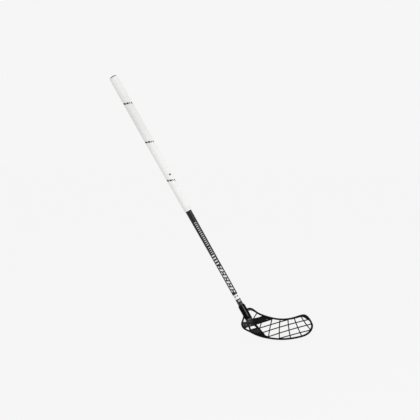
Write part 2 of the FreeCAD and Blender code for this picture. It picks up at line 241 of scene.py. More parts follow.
def carbon_finish():
    """Satin carbon: fine fibres run up the tube, wound bands show in its gloss, and the print lies under
    the coat."""
    material, tree, shader = new_finish("carbon_satin")
    height, turn, girth = unrolled(tree)
    stretched = reckon(tree, "MULTIPLY", height, FIBRE_STRETCH)
    fibres = speckle(tree, wire(tree, "CombineXYZ", girth, stretched, 0.0).outputs[0], FIBRES_PER_METRE)
    winds = reckon(tree, "DIVIDE", turn, 2 * math.pi)
    bands = reckon(tree, "ADD", reckon(tree, "DIVIDE", height, WOUND_BAND), winds)
    band_wave = reckon(tree, "PINGPONG", bands, 0.5)
    carbon = tinted(tree, fibres, CARBON_BLACK, CARBON_GREY)
    white = bar_print(tree, height, girth)
    for row in TICK_ROWS:
        white = reckon(tree, "MAXIMUM", white, tick_print(tree, height, girth, **row))
    printed = tinted(tree, white, carbon, PRINT_WHITE)
    for patch, grey in zip(PATCHES, PATCH_GREYS):
        printed = tinted(tree, patch_print(tree, height, girth, **patch), printed, grey)
    tree.links.new(printed, shader.inputs["Base Color"])
    gloss = eased(tree, reckon(tree, "ADD", fibres, band_wave), *CARBON_GLOSS_SPAN, *CARBON_ROUGHNESS)
    tree.links.new(gloss, shader.inputs["Roughness"])
    shader.inputs["Specular IOR Level"].default_value = CARBON_SPECULAR
    shader.inputs["Coat Weight"].default_value = CARBON_COAT
    shader.inputs["Coat Roughness"].default_value = CARBON_COAT_ROUGHNESS
    return material


def finish_node(node, material):
    """Gives a CAD node this material alone."""
    mesh = frame["nodes"][node].data
    mesh.materials.clear()
    mesh.materials.append(material)


finish_node("shaft_tube", carbon_finish())

# Core: a plug of grey moulded plastic glued into the tube's lower end, which the blade screws bite into.
# It shows only inside the tube and in the screw holes.
CORE_LIGHT = (0.27, 0.27, 0.28, 1)
CORE_DARK = (0.20, 0.20, 0.21, 1)
GRAIN_PER_METRE = 2200
FLOW_PER_METRE = 45
STREAK_TURN = 0.5
STREAK_STRETCH = 0.06
SCUFF_SPAN = (0.36, 0.46)
SCUFF_SHARE = 0.25
DRIFT_SPAN = (0.3, 0.8)
GLOSS_SPAN = (0.25, 0.75)
GRAIN_STRENGTH = 0.5


def make_moulded_grain():
    """Group for moulded plastic: a fine grain height, a slow flow pattern, and fine scuffs."""
    group, entry, leave = new_group(
        "moulded_grain",
        {"Grain per metre": GRAIN_PER_METRE, "Flow per metre": FLOW_PER_METRE},
        ["Grain", "Flow", "Scuffs"],
    )
    place = wire(group, "TexCoord").outputs["Object"]
    grain = speckle(group, place, entry["Grain per metre"], detail=3.0)
    flow = speckle(group, place, entry["Flow per metre"], detail=4.0)
    streak_place = wire(
        group, "Mapping", Vector=place, Rotation=(0, STREAK_TURN, 0), Scale=(1, 1, STREAK_STRETCH)
    ).outputs[0]
    streaks = speckle(group, streak_place, entry["Grain per metre"])
    scuffs = eased(group, reckon(group, "MULTIPLY", streaks, flow), *SCUFF_SPAN, 0.0, 1.0)
    for socket, value in zip(leave, (grain, flow, scuffs)):
        group.links.new(value, socket)
    return group


moulded_grain = make_moulded_grain()


def moulded_finish(name, dark, light, roughness, grain_depth, specular):
    """Moulded plastic: the colour drifts from dark to light with the flow and on scuffs, the roughness
    follows the flow, and the grain is a bump of the given depth."""
    material, tree, shader = new_finish(name)
    grain, flow, scuffs = wire(tree, "Group", settings={"node_tree": moulded_grain}).outputs[:3]
    scuffed = reckon(tree, "ADD", flow, reckon(tree, "MULTIPLY", scuffs, SCUFF_SHARE))
    drift = eased(tree, scuffed, *DRIFT_SPAN, 0.0, 1.0)
    tree.links.new(tinted(tree, drift, dark, light), shader.inputs["Base Color"])
    tree.links.new(eased(tree, flow, *GLOSS_SPAN, *roughness), shader.inputs["Roughness"])
    bump = wire(tree, "Bump", Height=grain, Strength=GRAIN_STRENGTH, Distance=grain_depth).outputs[0]
    tree.links.new(bump, shader.inputs["Normal"])
    shader.inputs["Specular IOR Level"].default_value = specular
    return material


core_plastic = moulded_finish(
    "core_plastic", CORE_DARK, CORE_LIGHT, roughness=(0.45, 0.6), grain_depth=0.00004, specular=0.4,
)
finish_node("shaft_end_plug", core_plastic)

# Blade: one black polyethylene moulding, heated and bent into a hook after it is moulded.
# A rounded rim carries a lattice of thin ribs, a thinner web with raised borders and pads joins it to the
# socket, and the socket, with a ridge down its front, slides over the shaft.
BLADE_LENGTH = 0.2515
BLADE_HEIGHT = 0.1135
HOOK_START = 0.017
HOOK_RADIUS = 0.720
RIM_DEPTH = 0.009
RIM_WIDTH = 0.0062
TOE_RIM_WIDTHS = [0.0115, 0.0115, 0.0075]
EAR_RIM_WIDTH = 0.0095
EAR_REACH = 0.030
RIM_SAMPLES = 420
RIM_SIDES = 20
GUSSET_START = 0.02
GUSSET_WIDTH = 0.0096
GUSSET_RISE = 0.0003
GUSSET_REACH = 0.0022
RIB_DEPTH = 0.005
RIB_WIDTH = 0.0036
LONG_RIB_RADIUS = 1.2
CROSS_RIB_RADIUS = 0.4
RIB_SAMPLES = 40
RIB_SIDES = 14
WEB_DEPTH = 0.0032
HEEL_POINTS = [(-0.084, 0.179), (-0.102, 0.025), (-0.118, -0.103)]
SOLE_POINTS = [
    (-0.089, -0.257), (-0.030, -0.336), (0.099, -0.475), (0.250, -0.566), (0.411, -0.611), (0.679, -0.568),
]
TOE_POINTS = [(0.842, -0.416), (0.882, -0.214), (0.853, -0.038)]
TOE_CORNER = [(0.812, 0.086), (0.757, 0.155), (0.700, 0.138)]
TOP_POINTS = [(0.544, 0.055), (0.366, 0.065), (0.210, 0.156), (0.136, 0.222), (0.097, 0.275)]
EAR_POINTS = [(0.026, 0.378), (-0.032, 0.371)]
LONG_RIBS = [
    [(0.132, -0.247), (0.507, -0.009)],
    [(0.170, -0.387), (0.808, -0.019)],
    [(0.259, -0.509), (0.853, -0.160)],
    [(0.417, -0.563), (0.843, -0.345)],
]
CROSS_RIBS = [
    [(0.140, -0.238), (0.163, -0.064)],
    [(0.261, -0.528), (0.310, 0.038)],
    [(0.412, -0.571), (0.419, 0.000)],
    [(0.567, -0.560), (0.530, 0.011)],
    [(0.722, -0.497), (0.618, 0.045)],
    [(0.840, -0.310), (0.720, 0.062)],
    [(0.056, 0.062), (0.101, 0.223)],
]
WEB_POINTS = [
    (-0.100, -0.080), (-0.050, -0.062), (0.010, 0.018), (0.070, 0.068),
    (0.115, 0.088), (0.194, 0.147), (0.306, 0.058), (0.303, 0.010), (0.226, -0.031),
    (0.171, -0.070), (0.116, -0.104), (0.092, -0.138), (0.238, -0.506), (0.226, -0.545),
    (0.114, -0.469), (-0.006, -0.344), (-0.082, -0.232), (-0.108, -0.125),
]
WEB_WINDOWS = [
    [(0.006, -0.195), (0.062, -0.166), (0.093, -0.227), (0.020, -0.273)],
    [(-0.062, -0.254), (-0.018, -0.204), (0.000, -0.325)],
]
WEB_BORDERS = [
    (0.0050, [(0.074, 0.047), (0.119, 0.067), (0.198, 0.126)]),
    (0.0060, [(0.300, 0.034), (0.077, -0.121), (0.228, -0.520)]),
    (0.0040, [(0.012, -0.303), (0.100, -0.246)]),
    (0.0036, [(-0.006, -0.190), (0.012, -0.310)]),
    (0.0040, [(0.2306, -0.4934), (0.2577, -0.5040)]),
]
BORDER_BEND = 0.002
WINDOW_ROUNDING = 0.002
CORNER_SHARE = 0.45
MERGE_DISTANCE = 1e-7
INSIDE_WITH_HOLES = 2
HEEL_EDGE = (0.0036, [(-0.100, -0.066), (-0.036, -0.052)])
WEB_PADS = [
    (0.0040, [(-0.086, -0.098), (-0.086, -0.172)]),
    (0.0048, [(-0.048, -0.108), (-0.048, -0.160)]),
    (0.0048, [(0.007, -0.114), (0.007, -0.168)]),
    (0.0032, [(0.222, 0.020), (0.252, 0.030)]),
]
PAD_RISE = 0.0004
WEB_POINT_SPACING = 0.004
SECTION_POWER = 2.6
SOCKET_DEPTH = 0.061
SOCKET_RADIUS = 0.0123
SOCKET_FLOOR = 0.007
FOOT_RADIUS = 0.0095
FOOT_LENGTH = 0.009
MOUTH_RADIUS = 0.01105
MOUTH_LENGTH = 0.005
BORE_RADIUS = 0.00905
SOCKET_ROUNDING = 0.0012
SOCKET_COLUMNS = 80
PIN_COLUMNS = 40
RIDGE_TURN = math.radians(16)
RIDGE_WIDTH = 0.0030
RIDGE_RISE = 0.0006
RIDGE_ENDS = (0.016, 0.0600)
RIDGE_SAMPLES = 24
RIDGE_SIDES = 20
SWELL_POWER = 8
SWELL_LEAST = 0.03
FOOT_RINGS = [
    {"height": 0.0060, "width": 0.0040, "turn": 0.09, "half_turn": 0.40, "fall": 0.3},
    {"height": -0.0002, "width": 0.0032, "turn": -0.22, "half_turn": 0.35, "fall": 0.5},
]
SCREW_HEIGHTS = {"blade_screw_upper": 0.039, "blade_screw_lower": 0.015}
SCREW_SEAT = 0.0108
SEAT_RADIUS = 0.0037
SCREW_HOLE_RADIUS = 0.00175
SCREW_HOLE_FLOOR = -0.00325
BLADE_BLACK = (0.0012, 0.0012, 0.0013, 1)
BLADE_SCUFF = (0.0035, 0.0035, 0.0037, 1)
WEB_BLACK = (0.0015, 0.0015, 0.0017, 1)
WEB_SCUFF = (0.010, 0.010, 0.0104, 1)
BLADE_ROUGHNESS = (0.36, 0.46)
BLADE_GRAIN = 0.00003
HIGHLIGHT_GREY_DARK = (0.095, 0.095, 0.096, 1)
HIGHLIGHT_GREY_LIGHT = (0.140, 0.140, 0.141, 1)
HEEL_HIGHLIGHT_GREY = (0.030, 0.030, 0.0305, 1)
HEEL_REACH = (-0.004, 0.024)
FIN_FOOT = (-0.047, -0.037)
FIN_TOP = (-0.0260, -0.0235)
HEEL_SPOTS_PER_METRE = 130
HEEL_SPOT_SPAN = (0.36, 0.64)
HEEL_SPOT_SHARES = (0.5, 1.0)
FOOT_GREY = (0.030, 0.030, 0.0305, 1)
FOOT_GREY_TOP = (0.0084, 0.0096)
SMOOTH_ANGLE = math.radians(38)


def round_shaft(radius, turn, height):
    """Points round the shaft's axis: the height goes up the axis from the shaft's lower end, and the
    radius goes out across it, turned from the front towards the toe."""
    radius, turn, height = np.broadcast_arrays(radius, turn, height)
    out = np.sin(turn)[..., None] * towards_toe - np.cos(turn)[..., None] * towards_back
    return shaft_foot + height[..., None] * up_shaft + radius[..., None] * out


def on_blade(x, z, depth):
    """Points of the hooked blade: past the hook's start the plan bends back on a circle, and depth is
    measured square to the bent plan, towards its back."""
    x, z, depth = np.broadcast_arrays(x, z, depth)
    bend = np.arcsin(np.clip((x - HOOK_START) / HOOK_RADIUS, 0, 1))
    back = HOOK_RADIUS * (1 - np.cos(bend))
    return shaft_foot + np.stack([x - depth * np.sin(bend), back + depth * np.cos(bend), z], axis=-1)


def plan_points(shares):
    """Plan points in metres, from shares of the blade's length and height."""
    return np.array(shares) * (BLADE_LENGTH, BLADE_HEIGHT)


def smooth_ring(points, widths, count):
    """Closed cubic spline through the points, sampled evenly by chord length, with a width at each sample.

    On each span the curve is the cubic whose slope and bend run on without a step into the next span, so
    the bends at the points solve one cyclic set of linear equations. The widths change evenly on a span.
    """
    total = len(points)
    here = np.arange(total)
    ahead = np.roll(points, -1, axis=0) - points
    span = np.linalg.norm(ahead, axis=1)
    before = np.roll(span, 1)
    slope = ahead / span[:, None]
    system = np.diag(2 * (before + span))
    system[here, here - 1] += before
    system[here, (here + 1) % total] += span
    bend = np.linalg.solve(system, 6 * (slope - np.roll(slope, 1, axis=0)))
    ends = np.cumsum(span)
    along = np.arange(count) * ends[-1] / count
    first = np.searchsorted(ends, along, side="right")
    second = (first + 1) % total
    late = ((along - ends[first]) / span[first] + 1)[:, None]
    early = 1 - late
    bulge = (early ** 3 - early) * bend[first] + (late ** 3 - late) * bend[second]
    curve = early * points[first] + late * points[second] + bulge * span[first][:, None] ** 2 / 6
    return curve, early[:, 0] * widths[first] + late[:, 0] * widths[second]


def soften(points, radius, steps=4):
    """Closed outline with each corner turned into a curve: a parabola that leaves each side one radius
    from the corner, or a set share of the side where that is less."""
    points = np.array(points, float)
    to_next = np.roll(points, -1, axis=0) - points
    length = np.linalg.norm(to_next, axis=1, keepdims=True)
    reach = to_next * np.minimum(radius, length * CORNER_SHARE) / length
    leave = points + reach
    arrive = points - np.roll(reach, 1, axis=0)
    late = np.linspace(0, 1, steps + 1)[None, :, None]
    early = 1 - late
    curve = early ** 2 * arrive[:, None] + 2 * early * late * points[:, None] + late ** 2 * leave[:, None]
    return curve.reshape(-1, points.shape[1])


def grid_faces(rows, columns, ring_rows, ring_columns):
    """Quads of a grid of points numbered row by row. A ring runs on from its last point to its first."""
    row = np.arange(rows if ring_rows else rows - 1)[:, None]
    column = np.arange(columns if ring_columns else columns - 1)[None, :]
    row, column = np.broadcast_arrays(row, column)
    next_row = (row + 1) % rows
    next_column = (column + 1) % columns
    corners = [(row, column), (row, next_column), (next_row, next_column), (next_row, column)]
    return np.stack([r * columns + c for r, c in corners], axis=-1).reshape(-1, 4)


def closed_mesh(name, points, faces):
    """Mesh of these points and faces, with doubled points merged, open ends filled and faces outwards."""
    mesh = bpy.data.meshes.new(name)
    mesh.from_pydata(points.reshape(-1, 3).tolist(), [], faces.tolist())
    shape = bmesh.new()
    shape.from_mesh(mesh)
    bmesh.ops.remove_doubles(shape, verts=shape.verts, dist=MERGE_DISTANCE)
    bmesh.ops.holes_fill(shape, edges=shape.edges, sides=0)
    bmesh.ops.recalc_face_normals(shape, faces=shape.faces)
    shape.to_mesh(mesh)
    shape.free()
    mesh.shade_smooth()
    mesh.set_sharp_from_angle(angle=SMOOTH_ANGLE)
    return mesh


def add_piece(name, mesh, material):
    """Object in the scene with that mesh and material."""
    mesh.materials.clear()
    mesh.materials.append(material)
    piece = bpy.data.objects.new(name, mesh)
    bpy.context.scene.collection.objects.link(piece)
    return piece


def grid_piece(name, points, material, ring_rows=False, ring_columns=True):
    """Piece whose surface is a grid of points."""
    faces = grid_faces(*points.shape[:2], ring_rows, ring_columns)
    return add_piece(name, closed_mesh(name, points, faces), material)


def turned_piece(name, profile, material, columns=72):
    """Piece turned about the shaft's axis from a profile of (radius, height) points."""
    turn = np.linspace(0, 2 * math.pi, columns, endpoint=False)
    points = round_shaft(profile[:, :1], turn[None, :], profile[:, 1:])
    return grid_piece(name, points, material)


def swept_bar(name, line, width, depth, material, ring=False, sides=16):
    """Bar of a rounded section along a line in the plan.

    The section is the superellipse with |across|^p + |depth|^p = 1 at half the width and half the depth,
    set square to the line in the plan and square to the bent blade.
    """
    ahead = np.roll(line, -1, axis=0) - np.roll(line, 1, axis=0)
    if not ring:
        ahead[[0, -1]] = line[1] - line[0], line[-1] - line[-2]
    side = np.stack([ahead[:, 1], -ahead[:, 0]], axis=1) / np.linalg.norm(ahead, axis=1, keepdims=True)
    angle = np.linspace(0, 2 * math.pi, sides, endpoint=False)
    power = 2 / SECTION_POWER
    across = np.sign(np.cos(angle)) * np.abs(np.cos(angle)) ** power
    through = np.sign(np.sin(angle)) * np.abs(np.sin(angle)) ** power
    width = np.broadcast_to(width, len(line))
    plan = line[:, None, :] + side[:, None, :] * (across[None, :, None] * width[:, None, None] / 2)
    points = on_blade(plan[..., 0], plan[..., 1], through[None, :] * depth / 2)
    return grid_piece(name, points, material, ring_rows=ring)


def rim_bars(material, highlight_material):
    """Rim: its outer edge is a smooth ring through the outline's points, and its width follows theirs. A
    gusset in lighter grey, standing just proud of the rim, lies along its inner edge at the ear and widens
    towards the socket: painted highlight for the light on the ear's inner face."""
    outline = HEEL_POINTS + SOLE_POINTS + TOE_POINTS + TOE_CORNER + TOP_POINTS + EAR_POINTS
    plain = len(HEEL_POINTS + SOLE_POINTS + TOE_POINTS)
    widths = [RIM_WIDTH] * plain + TOE_RIM_WIDTHS
    widths += [RIM_WIDTH] * len(TOP_POINTS) + [EAR_RIM_WIDTH] * len(EAR_POINTS)
    edge, width = smooth_ring(plan_points(outline), np.array(widths), RIM_SAMPLES)
    ahead = np.roll(edge, -1, axis=0) - np.roll(edge, 1, axis=0)
    inward = np.stack([-ahead[:, 1], ahead[:, 0]], axis=1) / np.linalg.norm(ahead, axis=1, keepdims=True)
    middle = edge + inward * width[:, None] / 2
    rim = swept_bar("rim", middle, width, RIM_DEPTH, material, ring=True, sides=RIM_SIDES)
    ear = (width > (RIM_WIDTH + EAR_RIM_WIDTH) / 2) & (edge[:, 0] < EAR_REACH)
    line = (edge + inward * (width + GUSSET_REACH - GUSSET_WIDTH / 2)[:, None])[ear]
    gusset_width = GUSSET_WIDTH * np.sqrt(np.linspace(GUSSET_START, 1, len(line)))
    gusset_depth = RIM_DEPTH + 2 * GUSSET_RISE
    return [rim, swept_bar("ear_gusset", line, gusset_width, gusset_depth, highlight_material, sides=RIB_SIDES)]


def rib_bar(name, ends, radius, material):
    """Rib: a shallow bow to the left of its way, run on into the rim at both ends."""
    start, end = plan_points(ends)
    along = (end - start) / np.linalg.norm(end - start)
    start = start - along * RIM_WIDTH / 2
    end = end + along * RIM_WIDTH / 2
    left = np.array([-along[1], along[0]])
    half = np.linalg.norm(end - start) / 2
    rise = radius - math.sqrt(radius ** 2 - half ** 2)
    share = np.linspace(0, 1, RIB_SAMPLES)[:, None]
    line = start + (end - start) * share + left * rise * 4 * share * (1 - share)
    return swept_bar(name, line, RIB_WIDTH, RIB_DEPTH, material, sides=RIB_SIDES)


def border_bar(name, width, shares, material):
    """Raised border of the web: a bar along straight runs that bend into each other, run on at its ends."""
    points = plan_points(shares)
    bent = soften(points, BORDER_BEND, steps=6).reshape(len(points), -1, 2)[1:-1].reshape(-1, 2)
    line = np.concatenate([points[:1], bent, points[-1:]])
    ahead = line[[1, -1]] - line[[0, -2]]
    ends = ahead / np.linalg.norm(ahead, axis=1, keepdims=True) * width / 2
    line = np.concatenate([[line[0] - ends[0]], line, [line[-1] + ends[1]]])
    return swept_bar(name, line, width, RIB_DEPTH, material, sides=RIB_SIDES)


def web_sheet(material):
    """Web: a sheet in the bent plan inside an outline and round its windows, thickened by Solidify."""
    loops = [plan_points(WEB_POINTS)]
    loops += [soften(plan_points(window), WINDOW_ROUNDING) for window in WEB_WINDOWS]
    low = loops[0].min(axis=0)
    high = loops[0].max(axis=0)
    x, z = np.meshgrid(*(np.arange(a, b, WEB_POINT_SPACING) for a, b in zip(low, high)))
    flat = np.concatenate(loops + [np.stack([x.ravel(), z.ravel()], axis=1)])
    ends = np.cumsum([len(loop) for loop in loops])
    rings = [list(range(end - len(loop), end)) for end, loop in zip(ends, loops)]
    points = [Vector(point) for point in flat]
    found, _, faces, *_ = delaunay_2d_cdt(points, [], rings, INSIDE_WITH_HOLES, MERGE_DISTANCE)
    plan = np.array([tuple(point) for point in found])
    mesh = bpy.data.meshes.new("web")
    mesh.from_pydata(on_blade(plan[:, 0], plan[:, 1], 0.0).tolist(), [], faces)
    shape = bmesh.new()
    shape.from_mesh(mesh)
    bmesh.ops.delete(shape, geom=[point for point in shape.verts if not point.link_faces], context="VERTS")
    bmesh.ops.recalc_face_normals(shape, faces=shape.faces)
    shape.to_mesh(mesh)
    shape.free()
    web = add_piece("web", mesh, material)
    wall = web.modifiers.new("wall", "SOLIDIFY")
    wall.thickness = WEB_DEPTH
    wall.offset = 0
    wall.use_even_offset = True
    return web


def socket_shells(material, highlight_material):
    """Socket: a turned cup that narrows to its mouth and its foot, with a ridge down its front and two
    short ridges round its foot. A ridge is an ellipse along the cup's wall, and it shrinks at its ends.
    The ridges are in a lighter grey: painted highlight for the light they catch."""
    corners = [
        (0, -SOCKET_FLOOR), (FOOT_RADIUS, -SOCKET_FLOOR), (SOCKET_RADIUS, FOOT_LENGTH - SOCKET_FLOOR),
        (SOCKET_RADIUS, SOCKET_DEPTH - MOUTH_LENGTH), (MOUTH_RADIUS, SOCKET_DEPTH), (0, SOCKET_DEPTH),
    ]
    profile_radii, profile_heights = np.array(corners[1:-1]).T
    profile = soften(corners, SOCKET_ROUNDING)
    profile[:, 0] = np.maximum(profile[:, 0], 0)
    cup = turned_piece("cup", profile, material, columns=SOCKET_COLUMNS)
    along = np.linspace(-1, 1, RIDGE_SAMPLES)[:, None]
    middle, half = np.mean(RIDGE_ENDS), np.ptp(RIDGE_ENDS) / 2
    swell = np.sqrt(np.clip(1 - along ** SWELL_POWER, SWELL_LEAST, 1))
    angle = np.linspace(0, 2 * math.pi, RIDGE_SIDES, endpoint=False)[None, :]
    turn = RIDGE_TURN + np.sin(angle) * swell * RIDGE_WIDTH / 2 / SOCKET_RADIUS
    height = middle + half * along
    wall = np.interp(height, profile_heights, profile_radii)
    ridge = round_shaft(wall + np.cos(angle) * swell * RIDGE_RISE, turn, height)
    pieces = [cup, grid_piece("ridge", ridge, highlight_material)]
    for number, band in enumerate(FOOT_RINGS):
        turn = band["turn"] + band["half_turn"] * along
        fall = band["fall"] * SOCKET_RADIUS * np.sin(turn - band["turn"])
        height = band["height"] - fall + np.sin(angle) * swell * band["width"] / 2
        wall = np.interp(height, profile_heights, profile_radii)
        ring = round_shaft(wall + np.cos(angle) * swell * RIDGE_RISE, turn, height)
        pieces.append(grid_piece(f"foot_ring_{number}", ring, highlight_material))
    return pieces


def cross_pin(name, radius, start, end, height, material):
    """Round pin across the shaft, from front to back."""
    angle = np.linspace(0, 2 * math.pi, PIN_COLUMNS, endpoint=False)
    depth = np.array([start, end])
    ring = np.cos(angle)[:, None] * up_shaft + np.sin(angle)[:, None] * towards_toe
    centre = shaft_foot + height * up_shaft
    points = centre + radius * ring[None] + depth[:, None, None] * towards_back
    return grid_piece(name, points, material)


def moulded_together(name, shells, hollows):
    """One closed mesh from shells that overlap, with the hollows cut out of it."""
    first = shells[0]
    for operation, others in (("UNION", shells[1:]), ("DIFFERENCE", hollows)):
        for other in others:
            join = first.modifiers.new(other.name, "BOOLEAN")
            join.operation = operation
            join.solver = "MANIFOLD"
            join.object = other
            join.material_mode = "TRANSFER"
    whole = first.evaluated_get(bpy.context.evaluated_depsgraph_get())
    mesh = bpy.data.meshes.new_from_object(whole)
    for piece in shells + hollows:
        bpy.data.objects.remove(piece)
    mesh.shade_smooth()
    mesh.set_sharp_from_angle(angle=SMOOTH_ANGLE)
    mesh.name = name
    piece = bpy.data.objects.new(name, mesh)
    bpy.context.scene.collection.objects.link(piece)
    return piece


def tint_to_grey(material, share, grey):
    """Draws the colour of a moulded finish towards a grey, by a share that its nodes give."""
    tree = material.node_tree
    colour = tree.nodes["Principled BSDF"].inputs["Base Color"]
    plain = colour.links[0].from_socket
    tree.links.new(tinted(tree, share, plain, grey), colour)


def heel_highlight_share(tree):
    """Painted highlight in spots, for the light on the heel's raised details, on the heel as far as the
    arm, and lighter spots on the upper part of the fin below it.
    """
    place = wire(tree, "TexCoord").outputs["Object"]
    x, _, z = wire(tree, "SeparateXYZ", place).outputs
    heel = eased(tree, x, *(shaft_foot[0] + reach for reach in HEEL_REACH), 1.0, 0.0)
    above = eased(tree, z, *(shaft_foot[2] + height for height in FIN_FOOT), 0.0, 1.0)
    below = eased(tree, z, *(shaft_foot[2] + height for height in FIN_TOP), 1.0, 0.0)
    near = reckon(tree, "MAXIMUM", heel, reckon(tree, "MULTIPLY", above, below))
    specks = speckle(tree, place, HEEL_SPOTS_PER_METRE, detail=1.0)
    spots = eased(tree, specks, *HEEL_SPOT_SPAN, *HEEL_SPOT_SHARES)
    return reckon(tree, "MULTIPLY", near, spots)


def foot_share(tree):
    """1 on the socket's foot and 0 above it."""
    return eased(tree, unrolled(tree)[0], *FOOT_GREY_TOP, 1.0, 0.0)


blade_plastic = moulded_finish(
    "blade_plastic", BLADE_BLACK, BLADE_SCUFF, BLADE_ROUGHNESS, BLADE_GRAIN, specular=0.08,
)
web_plastic = moulded_finish(
    "web_plastic", WEB_BLACK, WEB_SCUFF, roughness=(0.5, 0.6), grain_depth=0.00006, specular=0.08,
)
# Lighter grey in spots on the heel and the upper fin; on the heel it is painted highlight for the light on
# its raised details.
tint_to_grey(web_plastic, heel_highlight_share(web_plastic.node_tree), HEEL_HIGHLIGHT_GREY)
socket_plastic = moulded_finish(
    "socket_plastic", BLADE_BLACK, BLADE_SCUFF, BLADE_ROUGHNESS, BLADE_GRAIN, specular=0.04,
)
tint_to_grey(socket_plastic, foot_share(socket_plastic.node_tree), FOOT_GREY)
# Lighter grey for raised details: painted highlight for the light that the ridges, the ear gusset, the foot
# rings, the heel edge and the pads catch.
ridge_plastic = moulded_finish(
    "ridge_plastic", HIGHLIGHT_GREY_DARK, HIGHLIGHT_GREY_LIGHT, roughness=(0.4, 0.5), grain_depth=BLADE_GRAIN, specular=0.3,
)
blade_shells = rim_bars(blade_plastic, ridge_plastic)
for number, rib in enumerate(LONG_RIBS):
    blade_shells.append(rib_bar(f"long_rib_{number}", rib, LONG_RIB_RADIUS, blade_plastic))
for number, rib in enumerate(CROSS_RIBS):
    blade_shells.append(rib_bar(f"cross_rib_{number}", rib, CROSS_RIB_RADIUS, blade_plastic))
for number, (width, shares) in enumerate(WEB_BORDERS):
    blade_shells.append(border_bar(f"border_{number}", width, shares, blade_plastic))
# The heel edge and the web pads take that lighter grey too: painted highlight on these raised details.
blade_shells.append(border_bar("heel_edge", *HEEL_EDGE, ridge_plastic))
pad_depth = WEB_DEPTH + 2 * PAD_RISE
for number, (width, shares) in enumerate(WEB_PADS):
    line = plan_points(shares)
    blade_shells.append(swept_bar(f"web_pad_{number}", line, width, pad_depth, ridge_plastic))
blade_shells.append(web_sheet(web_plastic))
blade_shells += socket_shells(socket_plastic, ridge_plastic)
bore_profile = np.array([(0, 0), (BORE_RADIUS, 0), (BORE_RADIUS, 2 * SOCKET_DEPTH), (0, 2 * SOCKET_DEPTH)])
blade_hollows = [turned_piece("bore", bore_profile, blade_plastic, columns=SOCKET_COLUMNS)]
clear_of_socket = 2 * SOCKET_RADIUS
screw_cuts = {"_seat": (SEAT_RADIUS, SCREW_SEAT), "_hole": (SCREW_HOLE_RADIUS, SCREW_HOLE_FLOOR)}
for screw, height in SCREW_HEIGHTS.items():
    for ending, (radius, floor_depth) in screw_cuts.items():
        cut = cross_pin(screw + ending, radius, floor_depth, clear_of_socket, height, blade_plastic)
        blade_hollows.append(cut)
blade_moulding = moulded_together("blade_moulding", blade_shells, blade_hollows)
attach(blade_moulding, "stick")
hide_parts("blade")

# Blade screws: two self-tapping screws of black-plated steel with slotted pan heads.
# They are driven from behind through the socket and the tube into the core.
SCREW_BLACK = (0.035, 0.035, 0.038, 1)
SCREW_BARE = (0.30, 0.29, 0.28, 1)
SCREW_WORN_SPAN = (0.30, 0.42)
SCREW_ROUGHNESS = (0.32, 0.5)
SCREW_METALLIC = 0.9
NOISE_SPAN = (0.3, 0.7)


def plated_finish():
    """Black plating over steel that shows through on worn spots."""
    material, tree, shader = new_finish("screw_plating")
    grain, flow = wire(tree, "Group", settings={"node_tree": moulded_grain}).outputs[:2]
    worn = eased(tree, reckon(tree, "MULTIPLY", grain, flow), *SCREW_WORN_SPAN, 0.0, 1.0)
    tree.links.new(tinted(tree, worn, SCREW_BLACK, SCREW_BARE), shader.inputs["Base Color"])
    tree.links.new(eased(tree, grain, *NOISE_SPAN, *SCREW_ROUGHNESS), shader.inputs["Roughness"])
    shader.inputs["Metallic"].default_value = SCREW_METALLIC
    return material


screw_plating = plated_finish()
for screw in SCREW_HEIGHTS:
    finish_node(screw, screw_plating)

# Ring label: a white gloss film wrapped once round the shaft above the socket, its ends lapped behind.
# It carries two short grey dashes.
LABEL_FOOT = 0.0855
LABEL_LENGTH = 0.0175
LABEL_INNER = 0.00905
LABEL_FILM = 0.0002
LABEL_LAP_FILM = 0.0001
LABEL_LAP = (math.radians(150), math.radians(186))
LAP_RAMP = math.radians(3)
FILM_ROUNDING = 0.45
LABEL_GLOSS_PER_METRE = 400
LABEL_ROUGHNESS = (0.22, 0.34)
LABEL_WHITE = (0.83, 0.83, 0.83, 1)
LABEL_GREY = (0.05, 0.05, 0.052, 1)
LABEL_DASHES = ((-0.0039, 0.0024), (0.0052, 0.0026))
DASH_HEIGHT = 0.0960
DASH_HALF_HEIGHT = 0.0024


def lapped_band(name, foot, length, inner, film, lap, lap_film, material, columns=120):
    """Band round the shaft with eased edges. Its outside rises by one film over the lap of its ends."""
    turn = np.linspace(0, 2 * math.pi, columns, endpoint=False)
    ramp = np.clip(np.minimum(turn - lap[0], lap[1] - turn) / LAP_RAMP, 0, 1)
    top = foot + length
    outside = inner(np.array([foot, top])) + film
    corners = [(inner(foot), foot), (outside[0], foot), (outside[1], top), (inner(top), top)]
    profile = soften(corners, film * FILM_ROUNDING)
    lift = (profile[:, :1] > (inner(profile[:, 1:]) + film / 2)) * ramp[None, :] * lap_film
    points = round_shaft(profile[:, :1] + lift, turn[None, :], profile[:, 1:])
    return grid_piece(name, points, material, ring_rows=True)


def label_finish():
    """White film with two grey dashes, whose gloss varies a little."""
    material, tree, shader = new_finish("label_film")
    height, _, girth = unrolled(tree)
    line = stripe(tree, height, DASH_HEIGHT, DASH_HALF_HEIGHT, PRINT_EDGE)
    dashes = reckon(tree, "MAXIMUM", *(stripe(tree, girth, *dash, PRINT_EDGE) for dash in LABEL_DASHES))
    grey = reckon(tree, "MULTIPLY", line, dashes)
    tree.links.new(tinted(tree, grey, LABEL_WHITE, LABEL_GREY), shader.inputs["Base Color"])
    place = wire(tree, "TexCoord").outputs["Object"]
    gloss = eased(tree, speckle(tree, place, LABEL_GLOSS_PER_METRE), *NOISE_SPAN, *LABEL_ROUGHNESS)
    tree.links.new(gloss, shader.inputs["Roughness"])
    return material


ring_label = lapped_band(
    "ring_label_film", LABEL_FOOT, LABEL_LENGTH, lambda height: LABEL_INNER + 0 * np.asarray(height),
    LABEL_FILM, LABEL_LAP, LABEL_LAP_FILM, label_finish(),
)
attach(ring_label, "stick")
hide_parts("ring_label")

